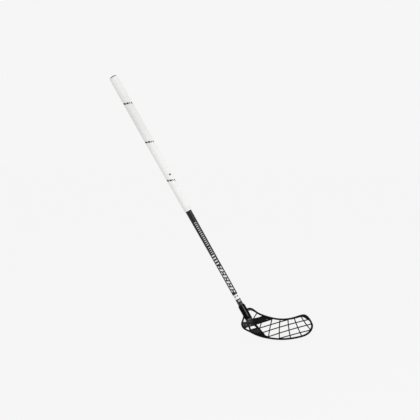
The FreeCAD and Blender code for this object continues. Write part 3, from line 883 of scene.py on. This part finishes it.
# Grip: a soft white foamed strip, wound left-handed down the shaft from the butt with lapped edges.
# Its upper edge is turned over the end of the tube, and its foot is pressed flat under the tape.
GRIP_FOOT = 0.434
TAPE_TOP = 0.447
HANDLE_FOOT = 0.736
TIP_TOP = 0.230
HANDLE_RADIUS = 0.013
TIP_RADIUS = 0.009
GLUE_GAP = 0.00005
GRIP_GROWTH = 0.00225
TAPE_THICKNESS = 0.0004
STRIP_PITCH = 0.025
SEAM_HALF_WIDTH = 0.0005
SEAM_DEPTH = 0.0005
LAP_WIDTH = 0.0035
LAP_RISE = 0.00015
EDGE_ROUNDING = 0.001
EDGE_ANGLES = (18, 36, 54, 72, 90)
STRIP_SAMPLES = np.array([
    0, 0.006, 0.012, 0.018, 0.024, 0.034, 0.05, 0.1, 0.22, 0.4, 0.6, 0.78, 0.84, 0.88, 0.92, 0.95,
    0.966, 0.976, 0.982, 0.988, 0.994,
])
GRIP_WHITE = (0.87, 0.87, 0.86, 1)
GRIP_DRIFT_AND_SEAM_SHADE = (0.85, 0.85, 0.838, 1)
GRIP_BAND_SHADE = (0.80, 0.80, 0.788, 1)
SHADE_BAND_HEIGHT = 0.805
SHADE_BAND_HALF_HEIGHT = 0.030
SHADE_BAND_EDGE = 0.130
GRIP_MARK = (0.030, 0.030, 0.032, 1)
MARK_HEIGHTS = (0.8538, 0.7038, 0.5540)
MARK_HALF_HEIGHT = 0.0030
MARK_FALL = 0.0048
MARK_BLOCKS = ((-0.0121, 0.0054), (-0.0008, 0.0038), (0.0066, 0.0014), (0.0142, 0.0024))
SPOT_HEIGHT = 0.5735
SPOT_MIDDLE = 0.0072
SPOT_HALF_SIZE = 0.0030
SEAM_SHADE_HALF_WIDTH = 0.008
SEAM_SHADE_EDGE = 0.02
SEAM_SHADE_SHARE = 0.8
GRIP_DRIFT_PER_METRE = 35
GRIP_DRIFT_SPAN = (0.35, 0.75)
GRIP_DRIFT_SHARE = 0.5
GRIP_GRAIN_PER_METRE = 1500
GRIP_GRAIN_STRENGTH = 0.12
GRIP_GRAIN_DEPTH = 0.0001
GRIP_ROUGHNESS = (0.5, 0.62)
GRIP_SPECULAR = 0.35
GRIP_SHEEN = 0.1


def shaft_radius(height):
    """Radius of the tube: straight at both ends and an even taper between."""
    return np.interp(height, [TIP_TOP, HANDLE_FOOT], [TIP_RADIUS, HANDLE_RADIUS])


def strip_growth(share):
    """Height of the wound strip above the tube, by the share of the way from one seam to the next above:
    a V at the seam, and a low swell where the strip laps over the turn above it."""
    to_seam = np.minimum(share, 1 - share) * STRIP_PITCH
    groove = SEAM_DEPTH * np.clip(1 - to_seam / SEAM_HALF_WIDTH, 0, 1)
    below_seam = (1 - share) * STRIP_PITCH
    swell = LAP_RISE * np.clip((LAP_WIDTH * 2 - below_seam) / LAP_WIDTH, 0, 1)
    return GRIP_GROWTH - groove + swell * (3 - 2 * swell / LAP_RISE) * swell / LAP_RISE


def wound_grip(material, columns=112):
    """Grip: rows of points follow the seam's helix, cut off level at the tape and at the rounded top, and
    rows for the top's rounding, the bore and the pressed foot close the tube."""
    turn = np.linspace(0, 2 * math.pi, columns + 1)[None, :]
    winds = math.ceil((SHAFT_LENGTH - TAPE_TOP) / STRIP_PITCH) + 1
    count = (np.arange(winds + 1)[:, None] + STRIP_SAMPLES[None, :]).reshape(-1, 1)
    lag = (turn - math.pi / 2) / (2 * math.pi)
    top = SHAFT_LENGTH - EDGE_ROUNDING
    heights = np.clip(TAPE_TOP + STRIP_PITCH * (count - 1 - lag), TAPE_TOP, top)
    shares = ((heights - TAPE_TOP) / STRIP_PITCH + lag) % 1
    radii = shaft_radius(heights) + strip_growth(shares)
    angle = np.radians(EDGE_ANGLES)[:, None]
    over_heights = top + EDGE_ROUNDING * np.sin(angle) + 0 * turn
    over_radii = radii[-1:] - EDGE_ROUNDING * (1 - np.cos(angle))
    bore = [(SHAFT_LENGTH, GLUE_GAP), (HANDLE_FOOT, GLUE_GAP), (GRIP_FOOT, GLUE_GAP)]
    pressed = GRIP_GROWTH - TAPE_THICKNESS - GLUE_GAP
    foot = [(GRIP_FOOT, pressed), (TAPE_TOP, pressed)]
    close = np.array(bore + foot)[:, :, None] + 0 * turn[None]
    heights = np.concatenate([heights, over_heights, close[:, 0]])
    radii = np.concatenate([radii, over_radii, shaft_radius(close[:, 0]) + close[:, 1]])
    points = round_shaft(radii, turn, heights)
    return grid_piece("wound_grip", points, material, ring_rows=True, ring_columns=False)


def grip_finish():
    """Soft white strip: a fine grain, a faint drift of tone, painted shade in the seams and in a band
    round the upper grip where the light falls off, a row of dark blocks along the strip at three heights,
    and one dark spot."""
    material, tree, shader = new_finish("grip_strip")
    height, turn, girth = unrolled(tree)
    rise = reckon(tree, "DIVIDE", reckon(tree, "SUBTRACT", height, TAPE_TOP), STRIP_PITCH)
    lag = reckon(tree, "DIVIDE", reckon(tree, "SUBTRACT", turn, math.pi / 2), 2 * math.pi)
    share = reckon(tree, "FRACT", reckon(tree, "ADD", rise, lag))
    place = wire(tree, "TexCoord").outputs["Object"]
    # Painted shade in the seam grooves: the strip is darkened along each seam.
    seam_shade = stripe(tree, reckon(tree, "PINGPONG", share, 0.5), 0.0, SEAM_SHADE_HALF_WIDTH, SEAM_SHADE_EDGE)
    slow = speckle(tree, place, GRIP_DRIFT_PER_METRE, detail=4.0)
    drift = eased(tree, slow, *GRIP_DRIFT_SPAN, 0.0, GRIP_DRIFT_SHARE)
    drift_and_seam_shade = reckon(tree, "MAXIMUM", drift, reckon(tree, "MULTIPLY", seam_shade, SEAM_SHADE_SHARE))
    # Painted shade: a soft darker band round the upper grip, where the light falls off.
    band_shade = stripe(tree, height, SHADE_BAND_HEIGHT, SHADE_BAND_HALF_HEIGHT, SHADE_BAND_EDGE)
    white = tinted(tree, band_shade, tinted(tree, drift_and_seam_shade, GRIP_WHITE, GRIP_DRIFT_AND_SEAM_SHADE), GRIP_BAND_SHADE)
    fall = reckon(tree, "ADD", height, reckon(tree, "MULTIPLY", turn, MARK_FALL))
    row = 0.0
    for mark_height in MARK_HEIGHTS:
        row = reckon(tree, "MAXIMUM", row, stripe(tree, fall, mark_height, MARK_HALF_HEIGHT, PRINT_EDGE))
    block = 0.0
    for middle, half_width in MARK_BLOCKS:
        block = reckon(tree, "MAXIMUM", block, stripe(tree, girth, middle, half_width, PRINT_EDGE))
    spot = reckon(
        tree, "MULTIPLY",
        stripe(tree, height, SPOT_HEIGHT, SPOT_HALF_SIZE, PRINT_EDGE),
        stripe(tree, girth, SPOT_MIDDLE, SPOT_HALF_SIZE, PRINT_EDGE),
    )
    mark = reckon(tree, "MAXIMUM", reckon(tree, "MULTIPLY", row, block), spot)
    tree.links.new(tinted(tree, mark, white, GRIP_MARK), shader.inputs["Base Color"])
    grain = speckle(tree, place, GRIP_GRAIN_PER_METRE, detail=3.0)
    tree.links.new(eased(tree, grain, *NOISE_SPAN, *GRIP_ROUGHNESS), shader.inputs["Roughness"])
    bump = wire(tree, "Bump", Height=grain, Strength=GRIP_GRAIN_STRENGTH, Distance=GRIP_GRAIN_DEPTH)
    tree.links.new(bump.outputs[0], shader.inputs["Normal"])
    shader.inputs["Specular IOR Level"].default_value = GRIP_SPECULAR
    shader.inputs["Sheen Weight"].default_value = GRIP_SHEEN
    return material


grip_strip = wound_grip(grip_finish())
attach(grip_strip, "stick")
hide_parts("grip_wrap")

# Finishing tape: a turn and a half of thin white plastic tape with a satin face.
# It is stuck down over the foot of the grip, and the end of the outer half turn laps over the first turn.
TAPE_LENGTH = TAPE_TOP - GRIP_FOOT
TAPE_LAP = (math.radians(70), math.radians(250))
TAPE_LAP_FILM = 0.00015
TAPE_LIGHT = (0.84, 0.84, 0.83, 1)
TAPE_DARK = (0.80, 0.80, 0.79, 1)
finish_tape = lapped_band(
    "finish_tape", GRIP_FOOT, TAPE_LENGTH,
    lambda height: shaft_radius(height) + GRIP_GROWTH - TAPE_THICKNESS,
    TAPE_THICKNESS, TAPE_LAP, TAPE_LAP_FILM,
    moulded_finish(
        "tape_white", TAPE_DARK, TAPE_LIGHT, roughness=(0.3, 0.42), grain_depth=0.00002, specular=0.4,
    ),
)
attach(finish_tape, "stick")
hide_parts("grip_finish_tape")

# Butt plug: a cap with a low dome, moulded in black plastic with a fine grain.
# Its hollow spigot is pushed into the upper end of the tube.
BUTT_RADIUS = 0.0132
BUTT_EDGE = 0.0012
BUTT_RISE = 0.0028
BUTT_FLAT = 0.005
BUTT_FULLNESS = 0.75
SPIGOT_RADIUS = 0.01145
SPIGOT_WALL = 0.002
SPIGOT_LENGTH = 0.024
PLUG_ROUNDING = 0.0005
PLUG_CORNER_STEPS = 3
DOME_SAMPLES = 9
PLUG_BLACK = (0.010, 0.010, 0.0105, 1)
PLUG_SCUFF = (0.022, 0.022, 0.023, 1)


def butt_profile():
    """Outline of the plug: a dome that is a parabola from the edge to the flat, then the spigot's walls."""
    share = np.linspace(0, 1, DOME_SAMPLES)
    dome_radius = BUTT_RADIUS + (BUTT_FLAT - BUTT_RADIUS) * share
    swell = 4 * (BUTT_FULLNESS - 0.5) * share * (1 - share)
    dome_height = SHAFT_LENGTH + BUTT_EDGE + BUTT_RISE * (share + swell)
    dome = np.column_stack([dome_radius, dome_height])
    inner = SPIGOT_RADIUS - SPIGOT_WALL
    low = SHAFT_LENGTH - SPIGOT_LENGTH
    walls = [
        (inner, SHAFT_LENGTH), (inner, low), (SPIGOT_RADIUS, low), (SPIGOT_RADIUS, SHAFT_LENGTH),
        (BUTT_RADIUS, SHAFT_LENGTH),
    ]
    top = SHAFT_LENGTH + BUTT_EDGE + BUTT_RISE
    outline = np.concatenate([[(0, SHAFT_LENGTH)], walls, dome, [(0, top)]])
    rounded = soften(outline, PLUG_ROUNDING, steps=PLUG_CORNER_STEPS)
    return rounded[PLUG_CORNER_STEPS:-PLUG_CORNER_STEPS]


butt_cap = turned_piece(
    "butt_cap", butt_profile(),
    moulded_finish(
        "plug_plastic", PLUG_BLACK, PLUG_SCUFF, roughness=(0.38, 0.5), grain_depth=0.00004, specular=0.35,
    ),
)
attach(butt_cap, "butt_plug")
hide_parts("butt_plug")

# Studio: a pale floor under the blade, a pale world, and soft lamps, with the key from the right.
# The camera stands in front of the stick and looks slightly down on it.
BACKGROUND = (0.921, 0.921, 0.921, 1)
FLOOR_COLOUR = (0.88, 0.88, 0.88, 1)
FLOOR_GLOW = 0.92
FLOOR_GLOW_COLOUR = (0.935, 0.935, 0.935, 1)
FLOOR_HALF_SIZE = 60.0
WORLD_LIGHT = (0.77, 0.77, 0.77, 1)
LENS = 85.0
SENSOR = 36.0
CAMERA_DISTANCE = 3.3999
CAMERA_TILT = math.radians(3)
VIEW_CENTRE = np.array([0.27585, 0, -0.3571])
LAMPS = {
    "key_right": {"place": (2.6, -2.0, 0.1), "size": 1.6, "power": 29},
    "fill_left": {"place": (-1.7, -1.5, -0.7), "size": 0.9, "power": 7},
}


def seen_directly(tree):
    """1 for rays from the camera, from gloss and from glass, and 0 for light."""
    rays = wire(tree, "LightPath").outputs
    seen = reckon(tree, "MAXIMUM", rays["Is Camera Ray"], rays["Is Glossy Ray"])
    return reckon(tree, "MAXIMUM", seen, rays["Is Transmission Ray"])


def floor_finish():
    """Pale matt floor that glows evenly where it is seen, so that only part of a shadow shows."""
    material = bpy.data.materials.new("studio_floor")
    material.use_nodes = True
    tree = material.node_tree
    tree.nodes.clear()
    matt = wire(tree, "BsdfDiffuse", Color=FLOOR_COLOUR).outputs[0]
    glow = wire(tree, "Emission", Color=FLOOR_GLOW_COLOUR, Strength=1.0).outputs[0]
    share = reckon(tree, "MULTIPLY", seen_directly(tree), FLOOR_GLOW)
    mixed = wire(tree, "MixShader", share, matt, glow).outputs[0]
    wire(tree, "OutputMaterial", Surface=mixed)
    return material


corners = np.array([(-1, -1), (1, -1), (1, 1), (-1, 1)]) * FLOOR_HALF_SIZE
floor_mesh = bpy.data.meshes.new("studio_floor")
floor_mesh.from_pydata([(x, y, cad_box[0].z) for x, y in corners.tolist()], [], [(0, 1, 2, 3)])
floor = add_piece("studio_floor", floor_mesh, floor_finish())

world = bpy.data.worlds.new("studio_world")
world.use_nodes = True
bpy.context.scene.world = world
world.node_tree.nodes.clear()
sky = tinted(world.node_tree, seen_directly(world.node_tree), WORLD_LIGHT, BACKGROUND)
glow = wire(world.node_tree, "Background", Color=sky, Strength=1.0).outputs[0]
wire(world.node_tree, "OutputWorld", Surface=glow)

for name, setting in LAMPS.items():
    light = bpy.data.lights.new(name, "AREA")
    light.size = setting["size"]
    light.energy = setting["power"]
    lamp = bpy.data.objects.new(name, light)
    bpy.context.scene.collection.objects.link(lamp)
    lamp.location = setting["place"]
    lamp.rotation_euler = (Vector(VIEW_CENTRE) - lamp.location).to_track_quat("-Z", "Y").to_euler()

lens = bpy.data.cameras.new("photo_camera")
lens.lens = LENS
lens.sensor_width = SENSOR
camera = bpy.data.objects.new("photo_camera", lens)
bpy.context.scene.collection.objects.link(camera)
camera.location = VIEW_CENTRE + CAMERA_DISTANCE * np.array([0, -1, math.tan(CAMERA_TILT)])
camera.rotation_euler = (math.pi / 2 - CAMERA_TILT, 0, 0)
bpy.context.scene.camera = camera
bpy.context.scene.view_settings.view_transform = "Standard"
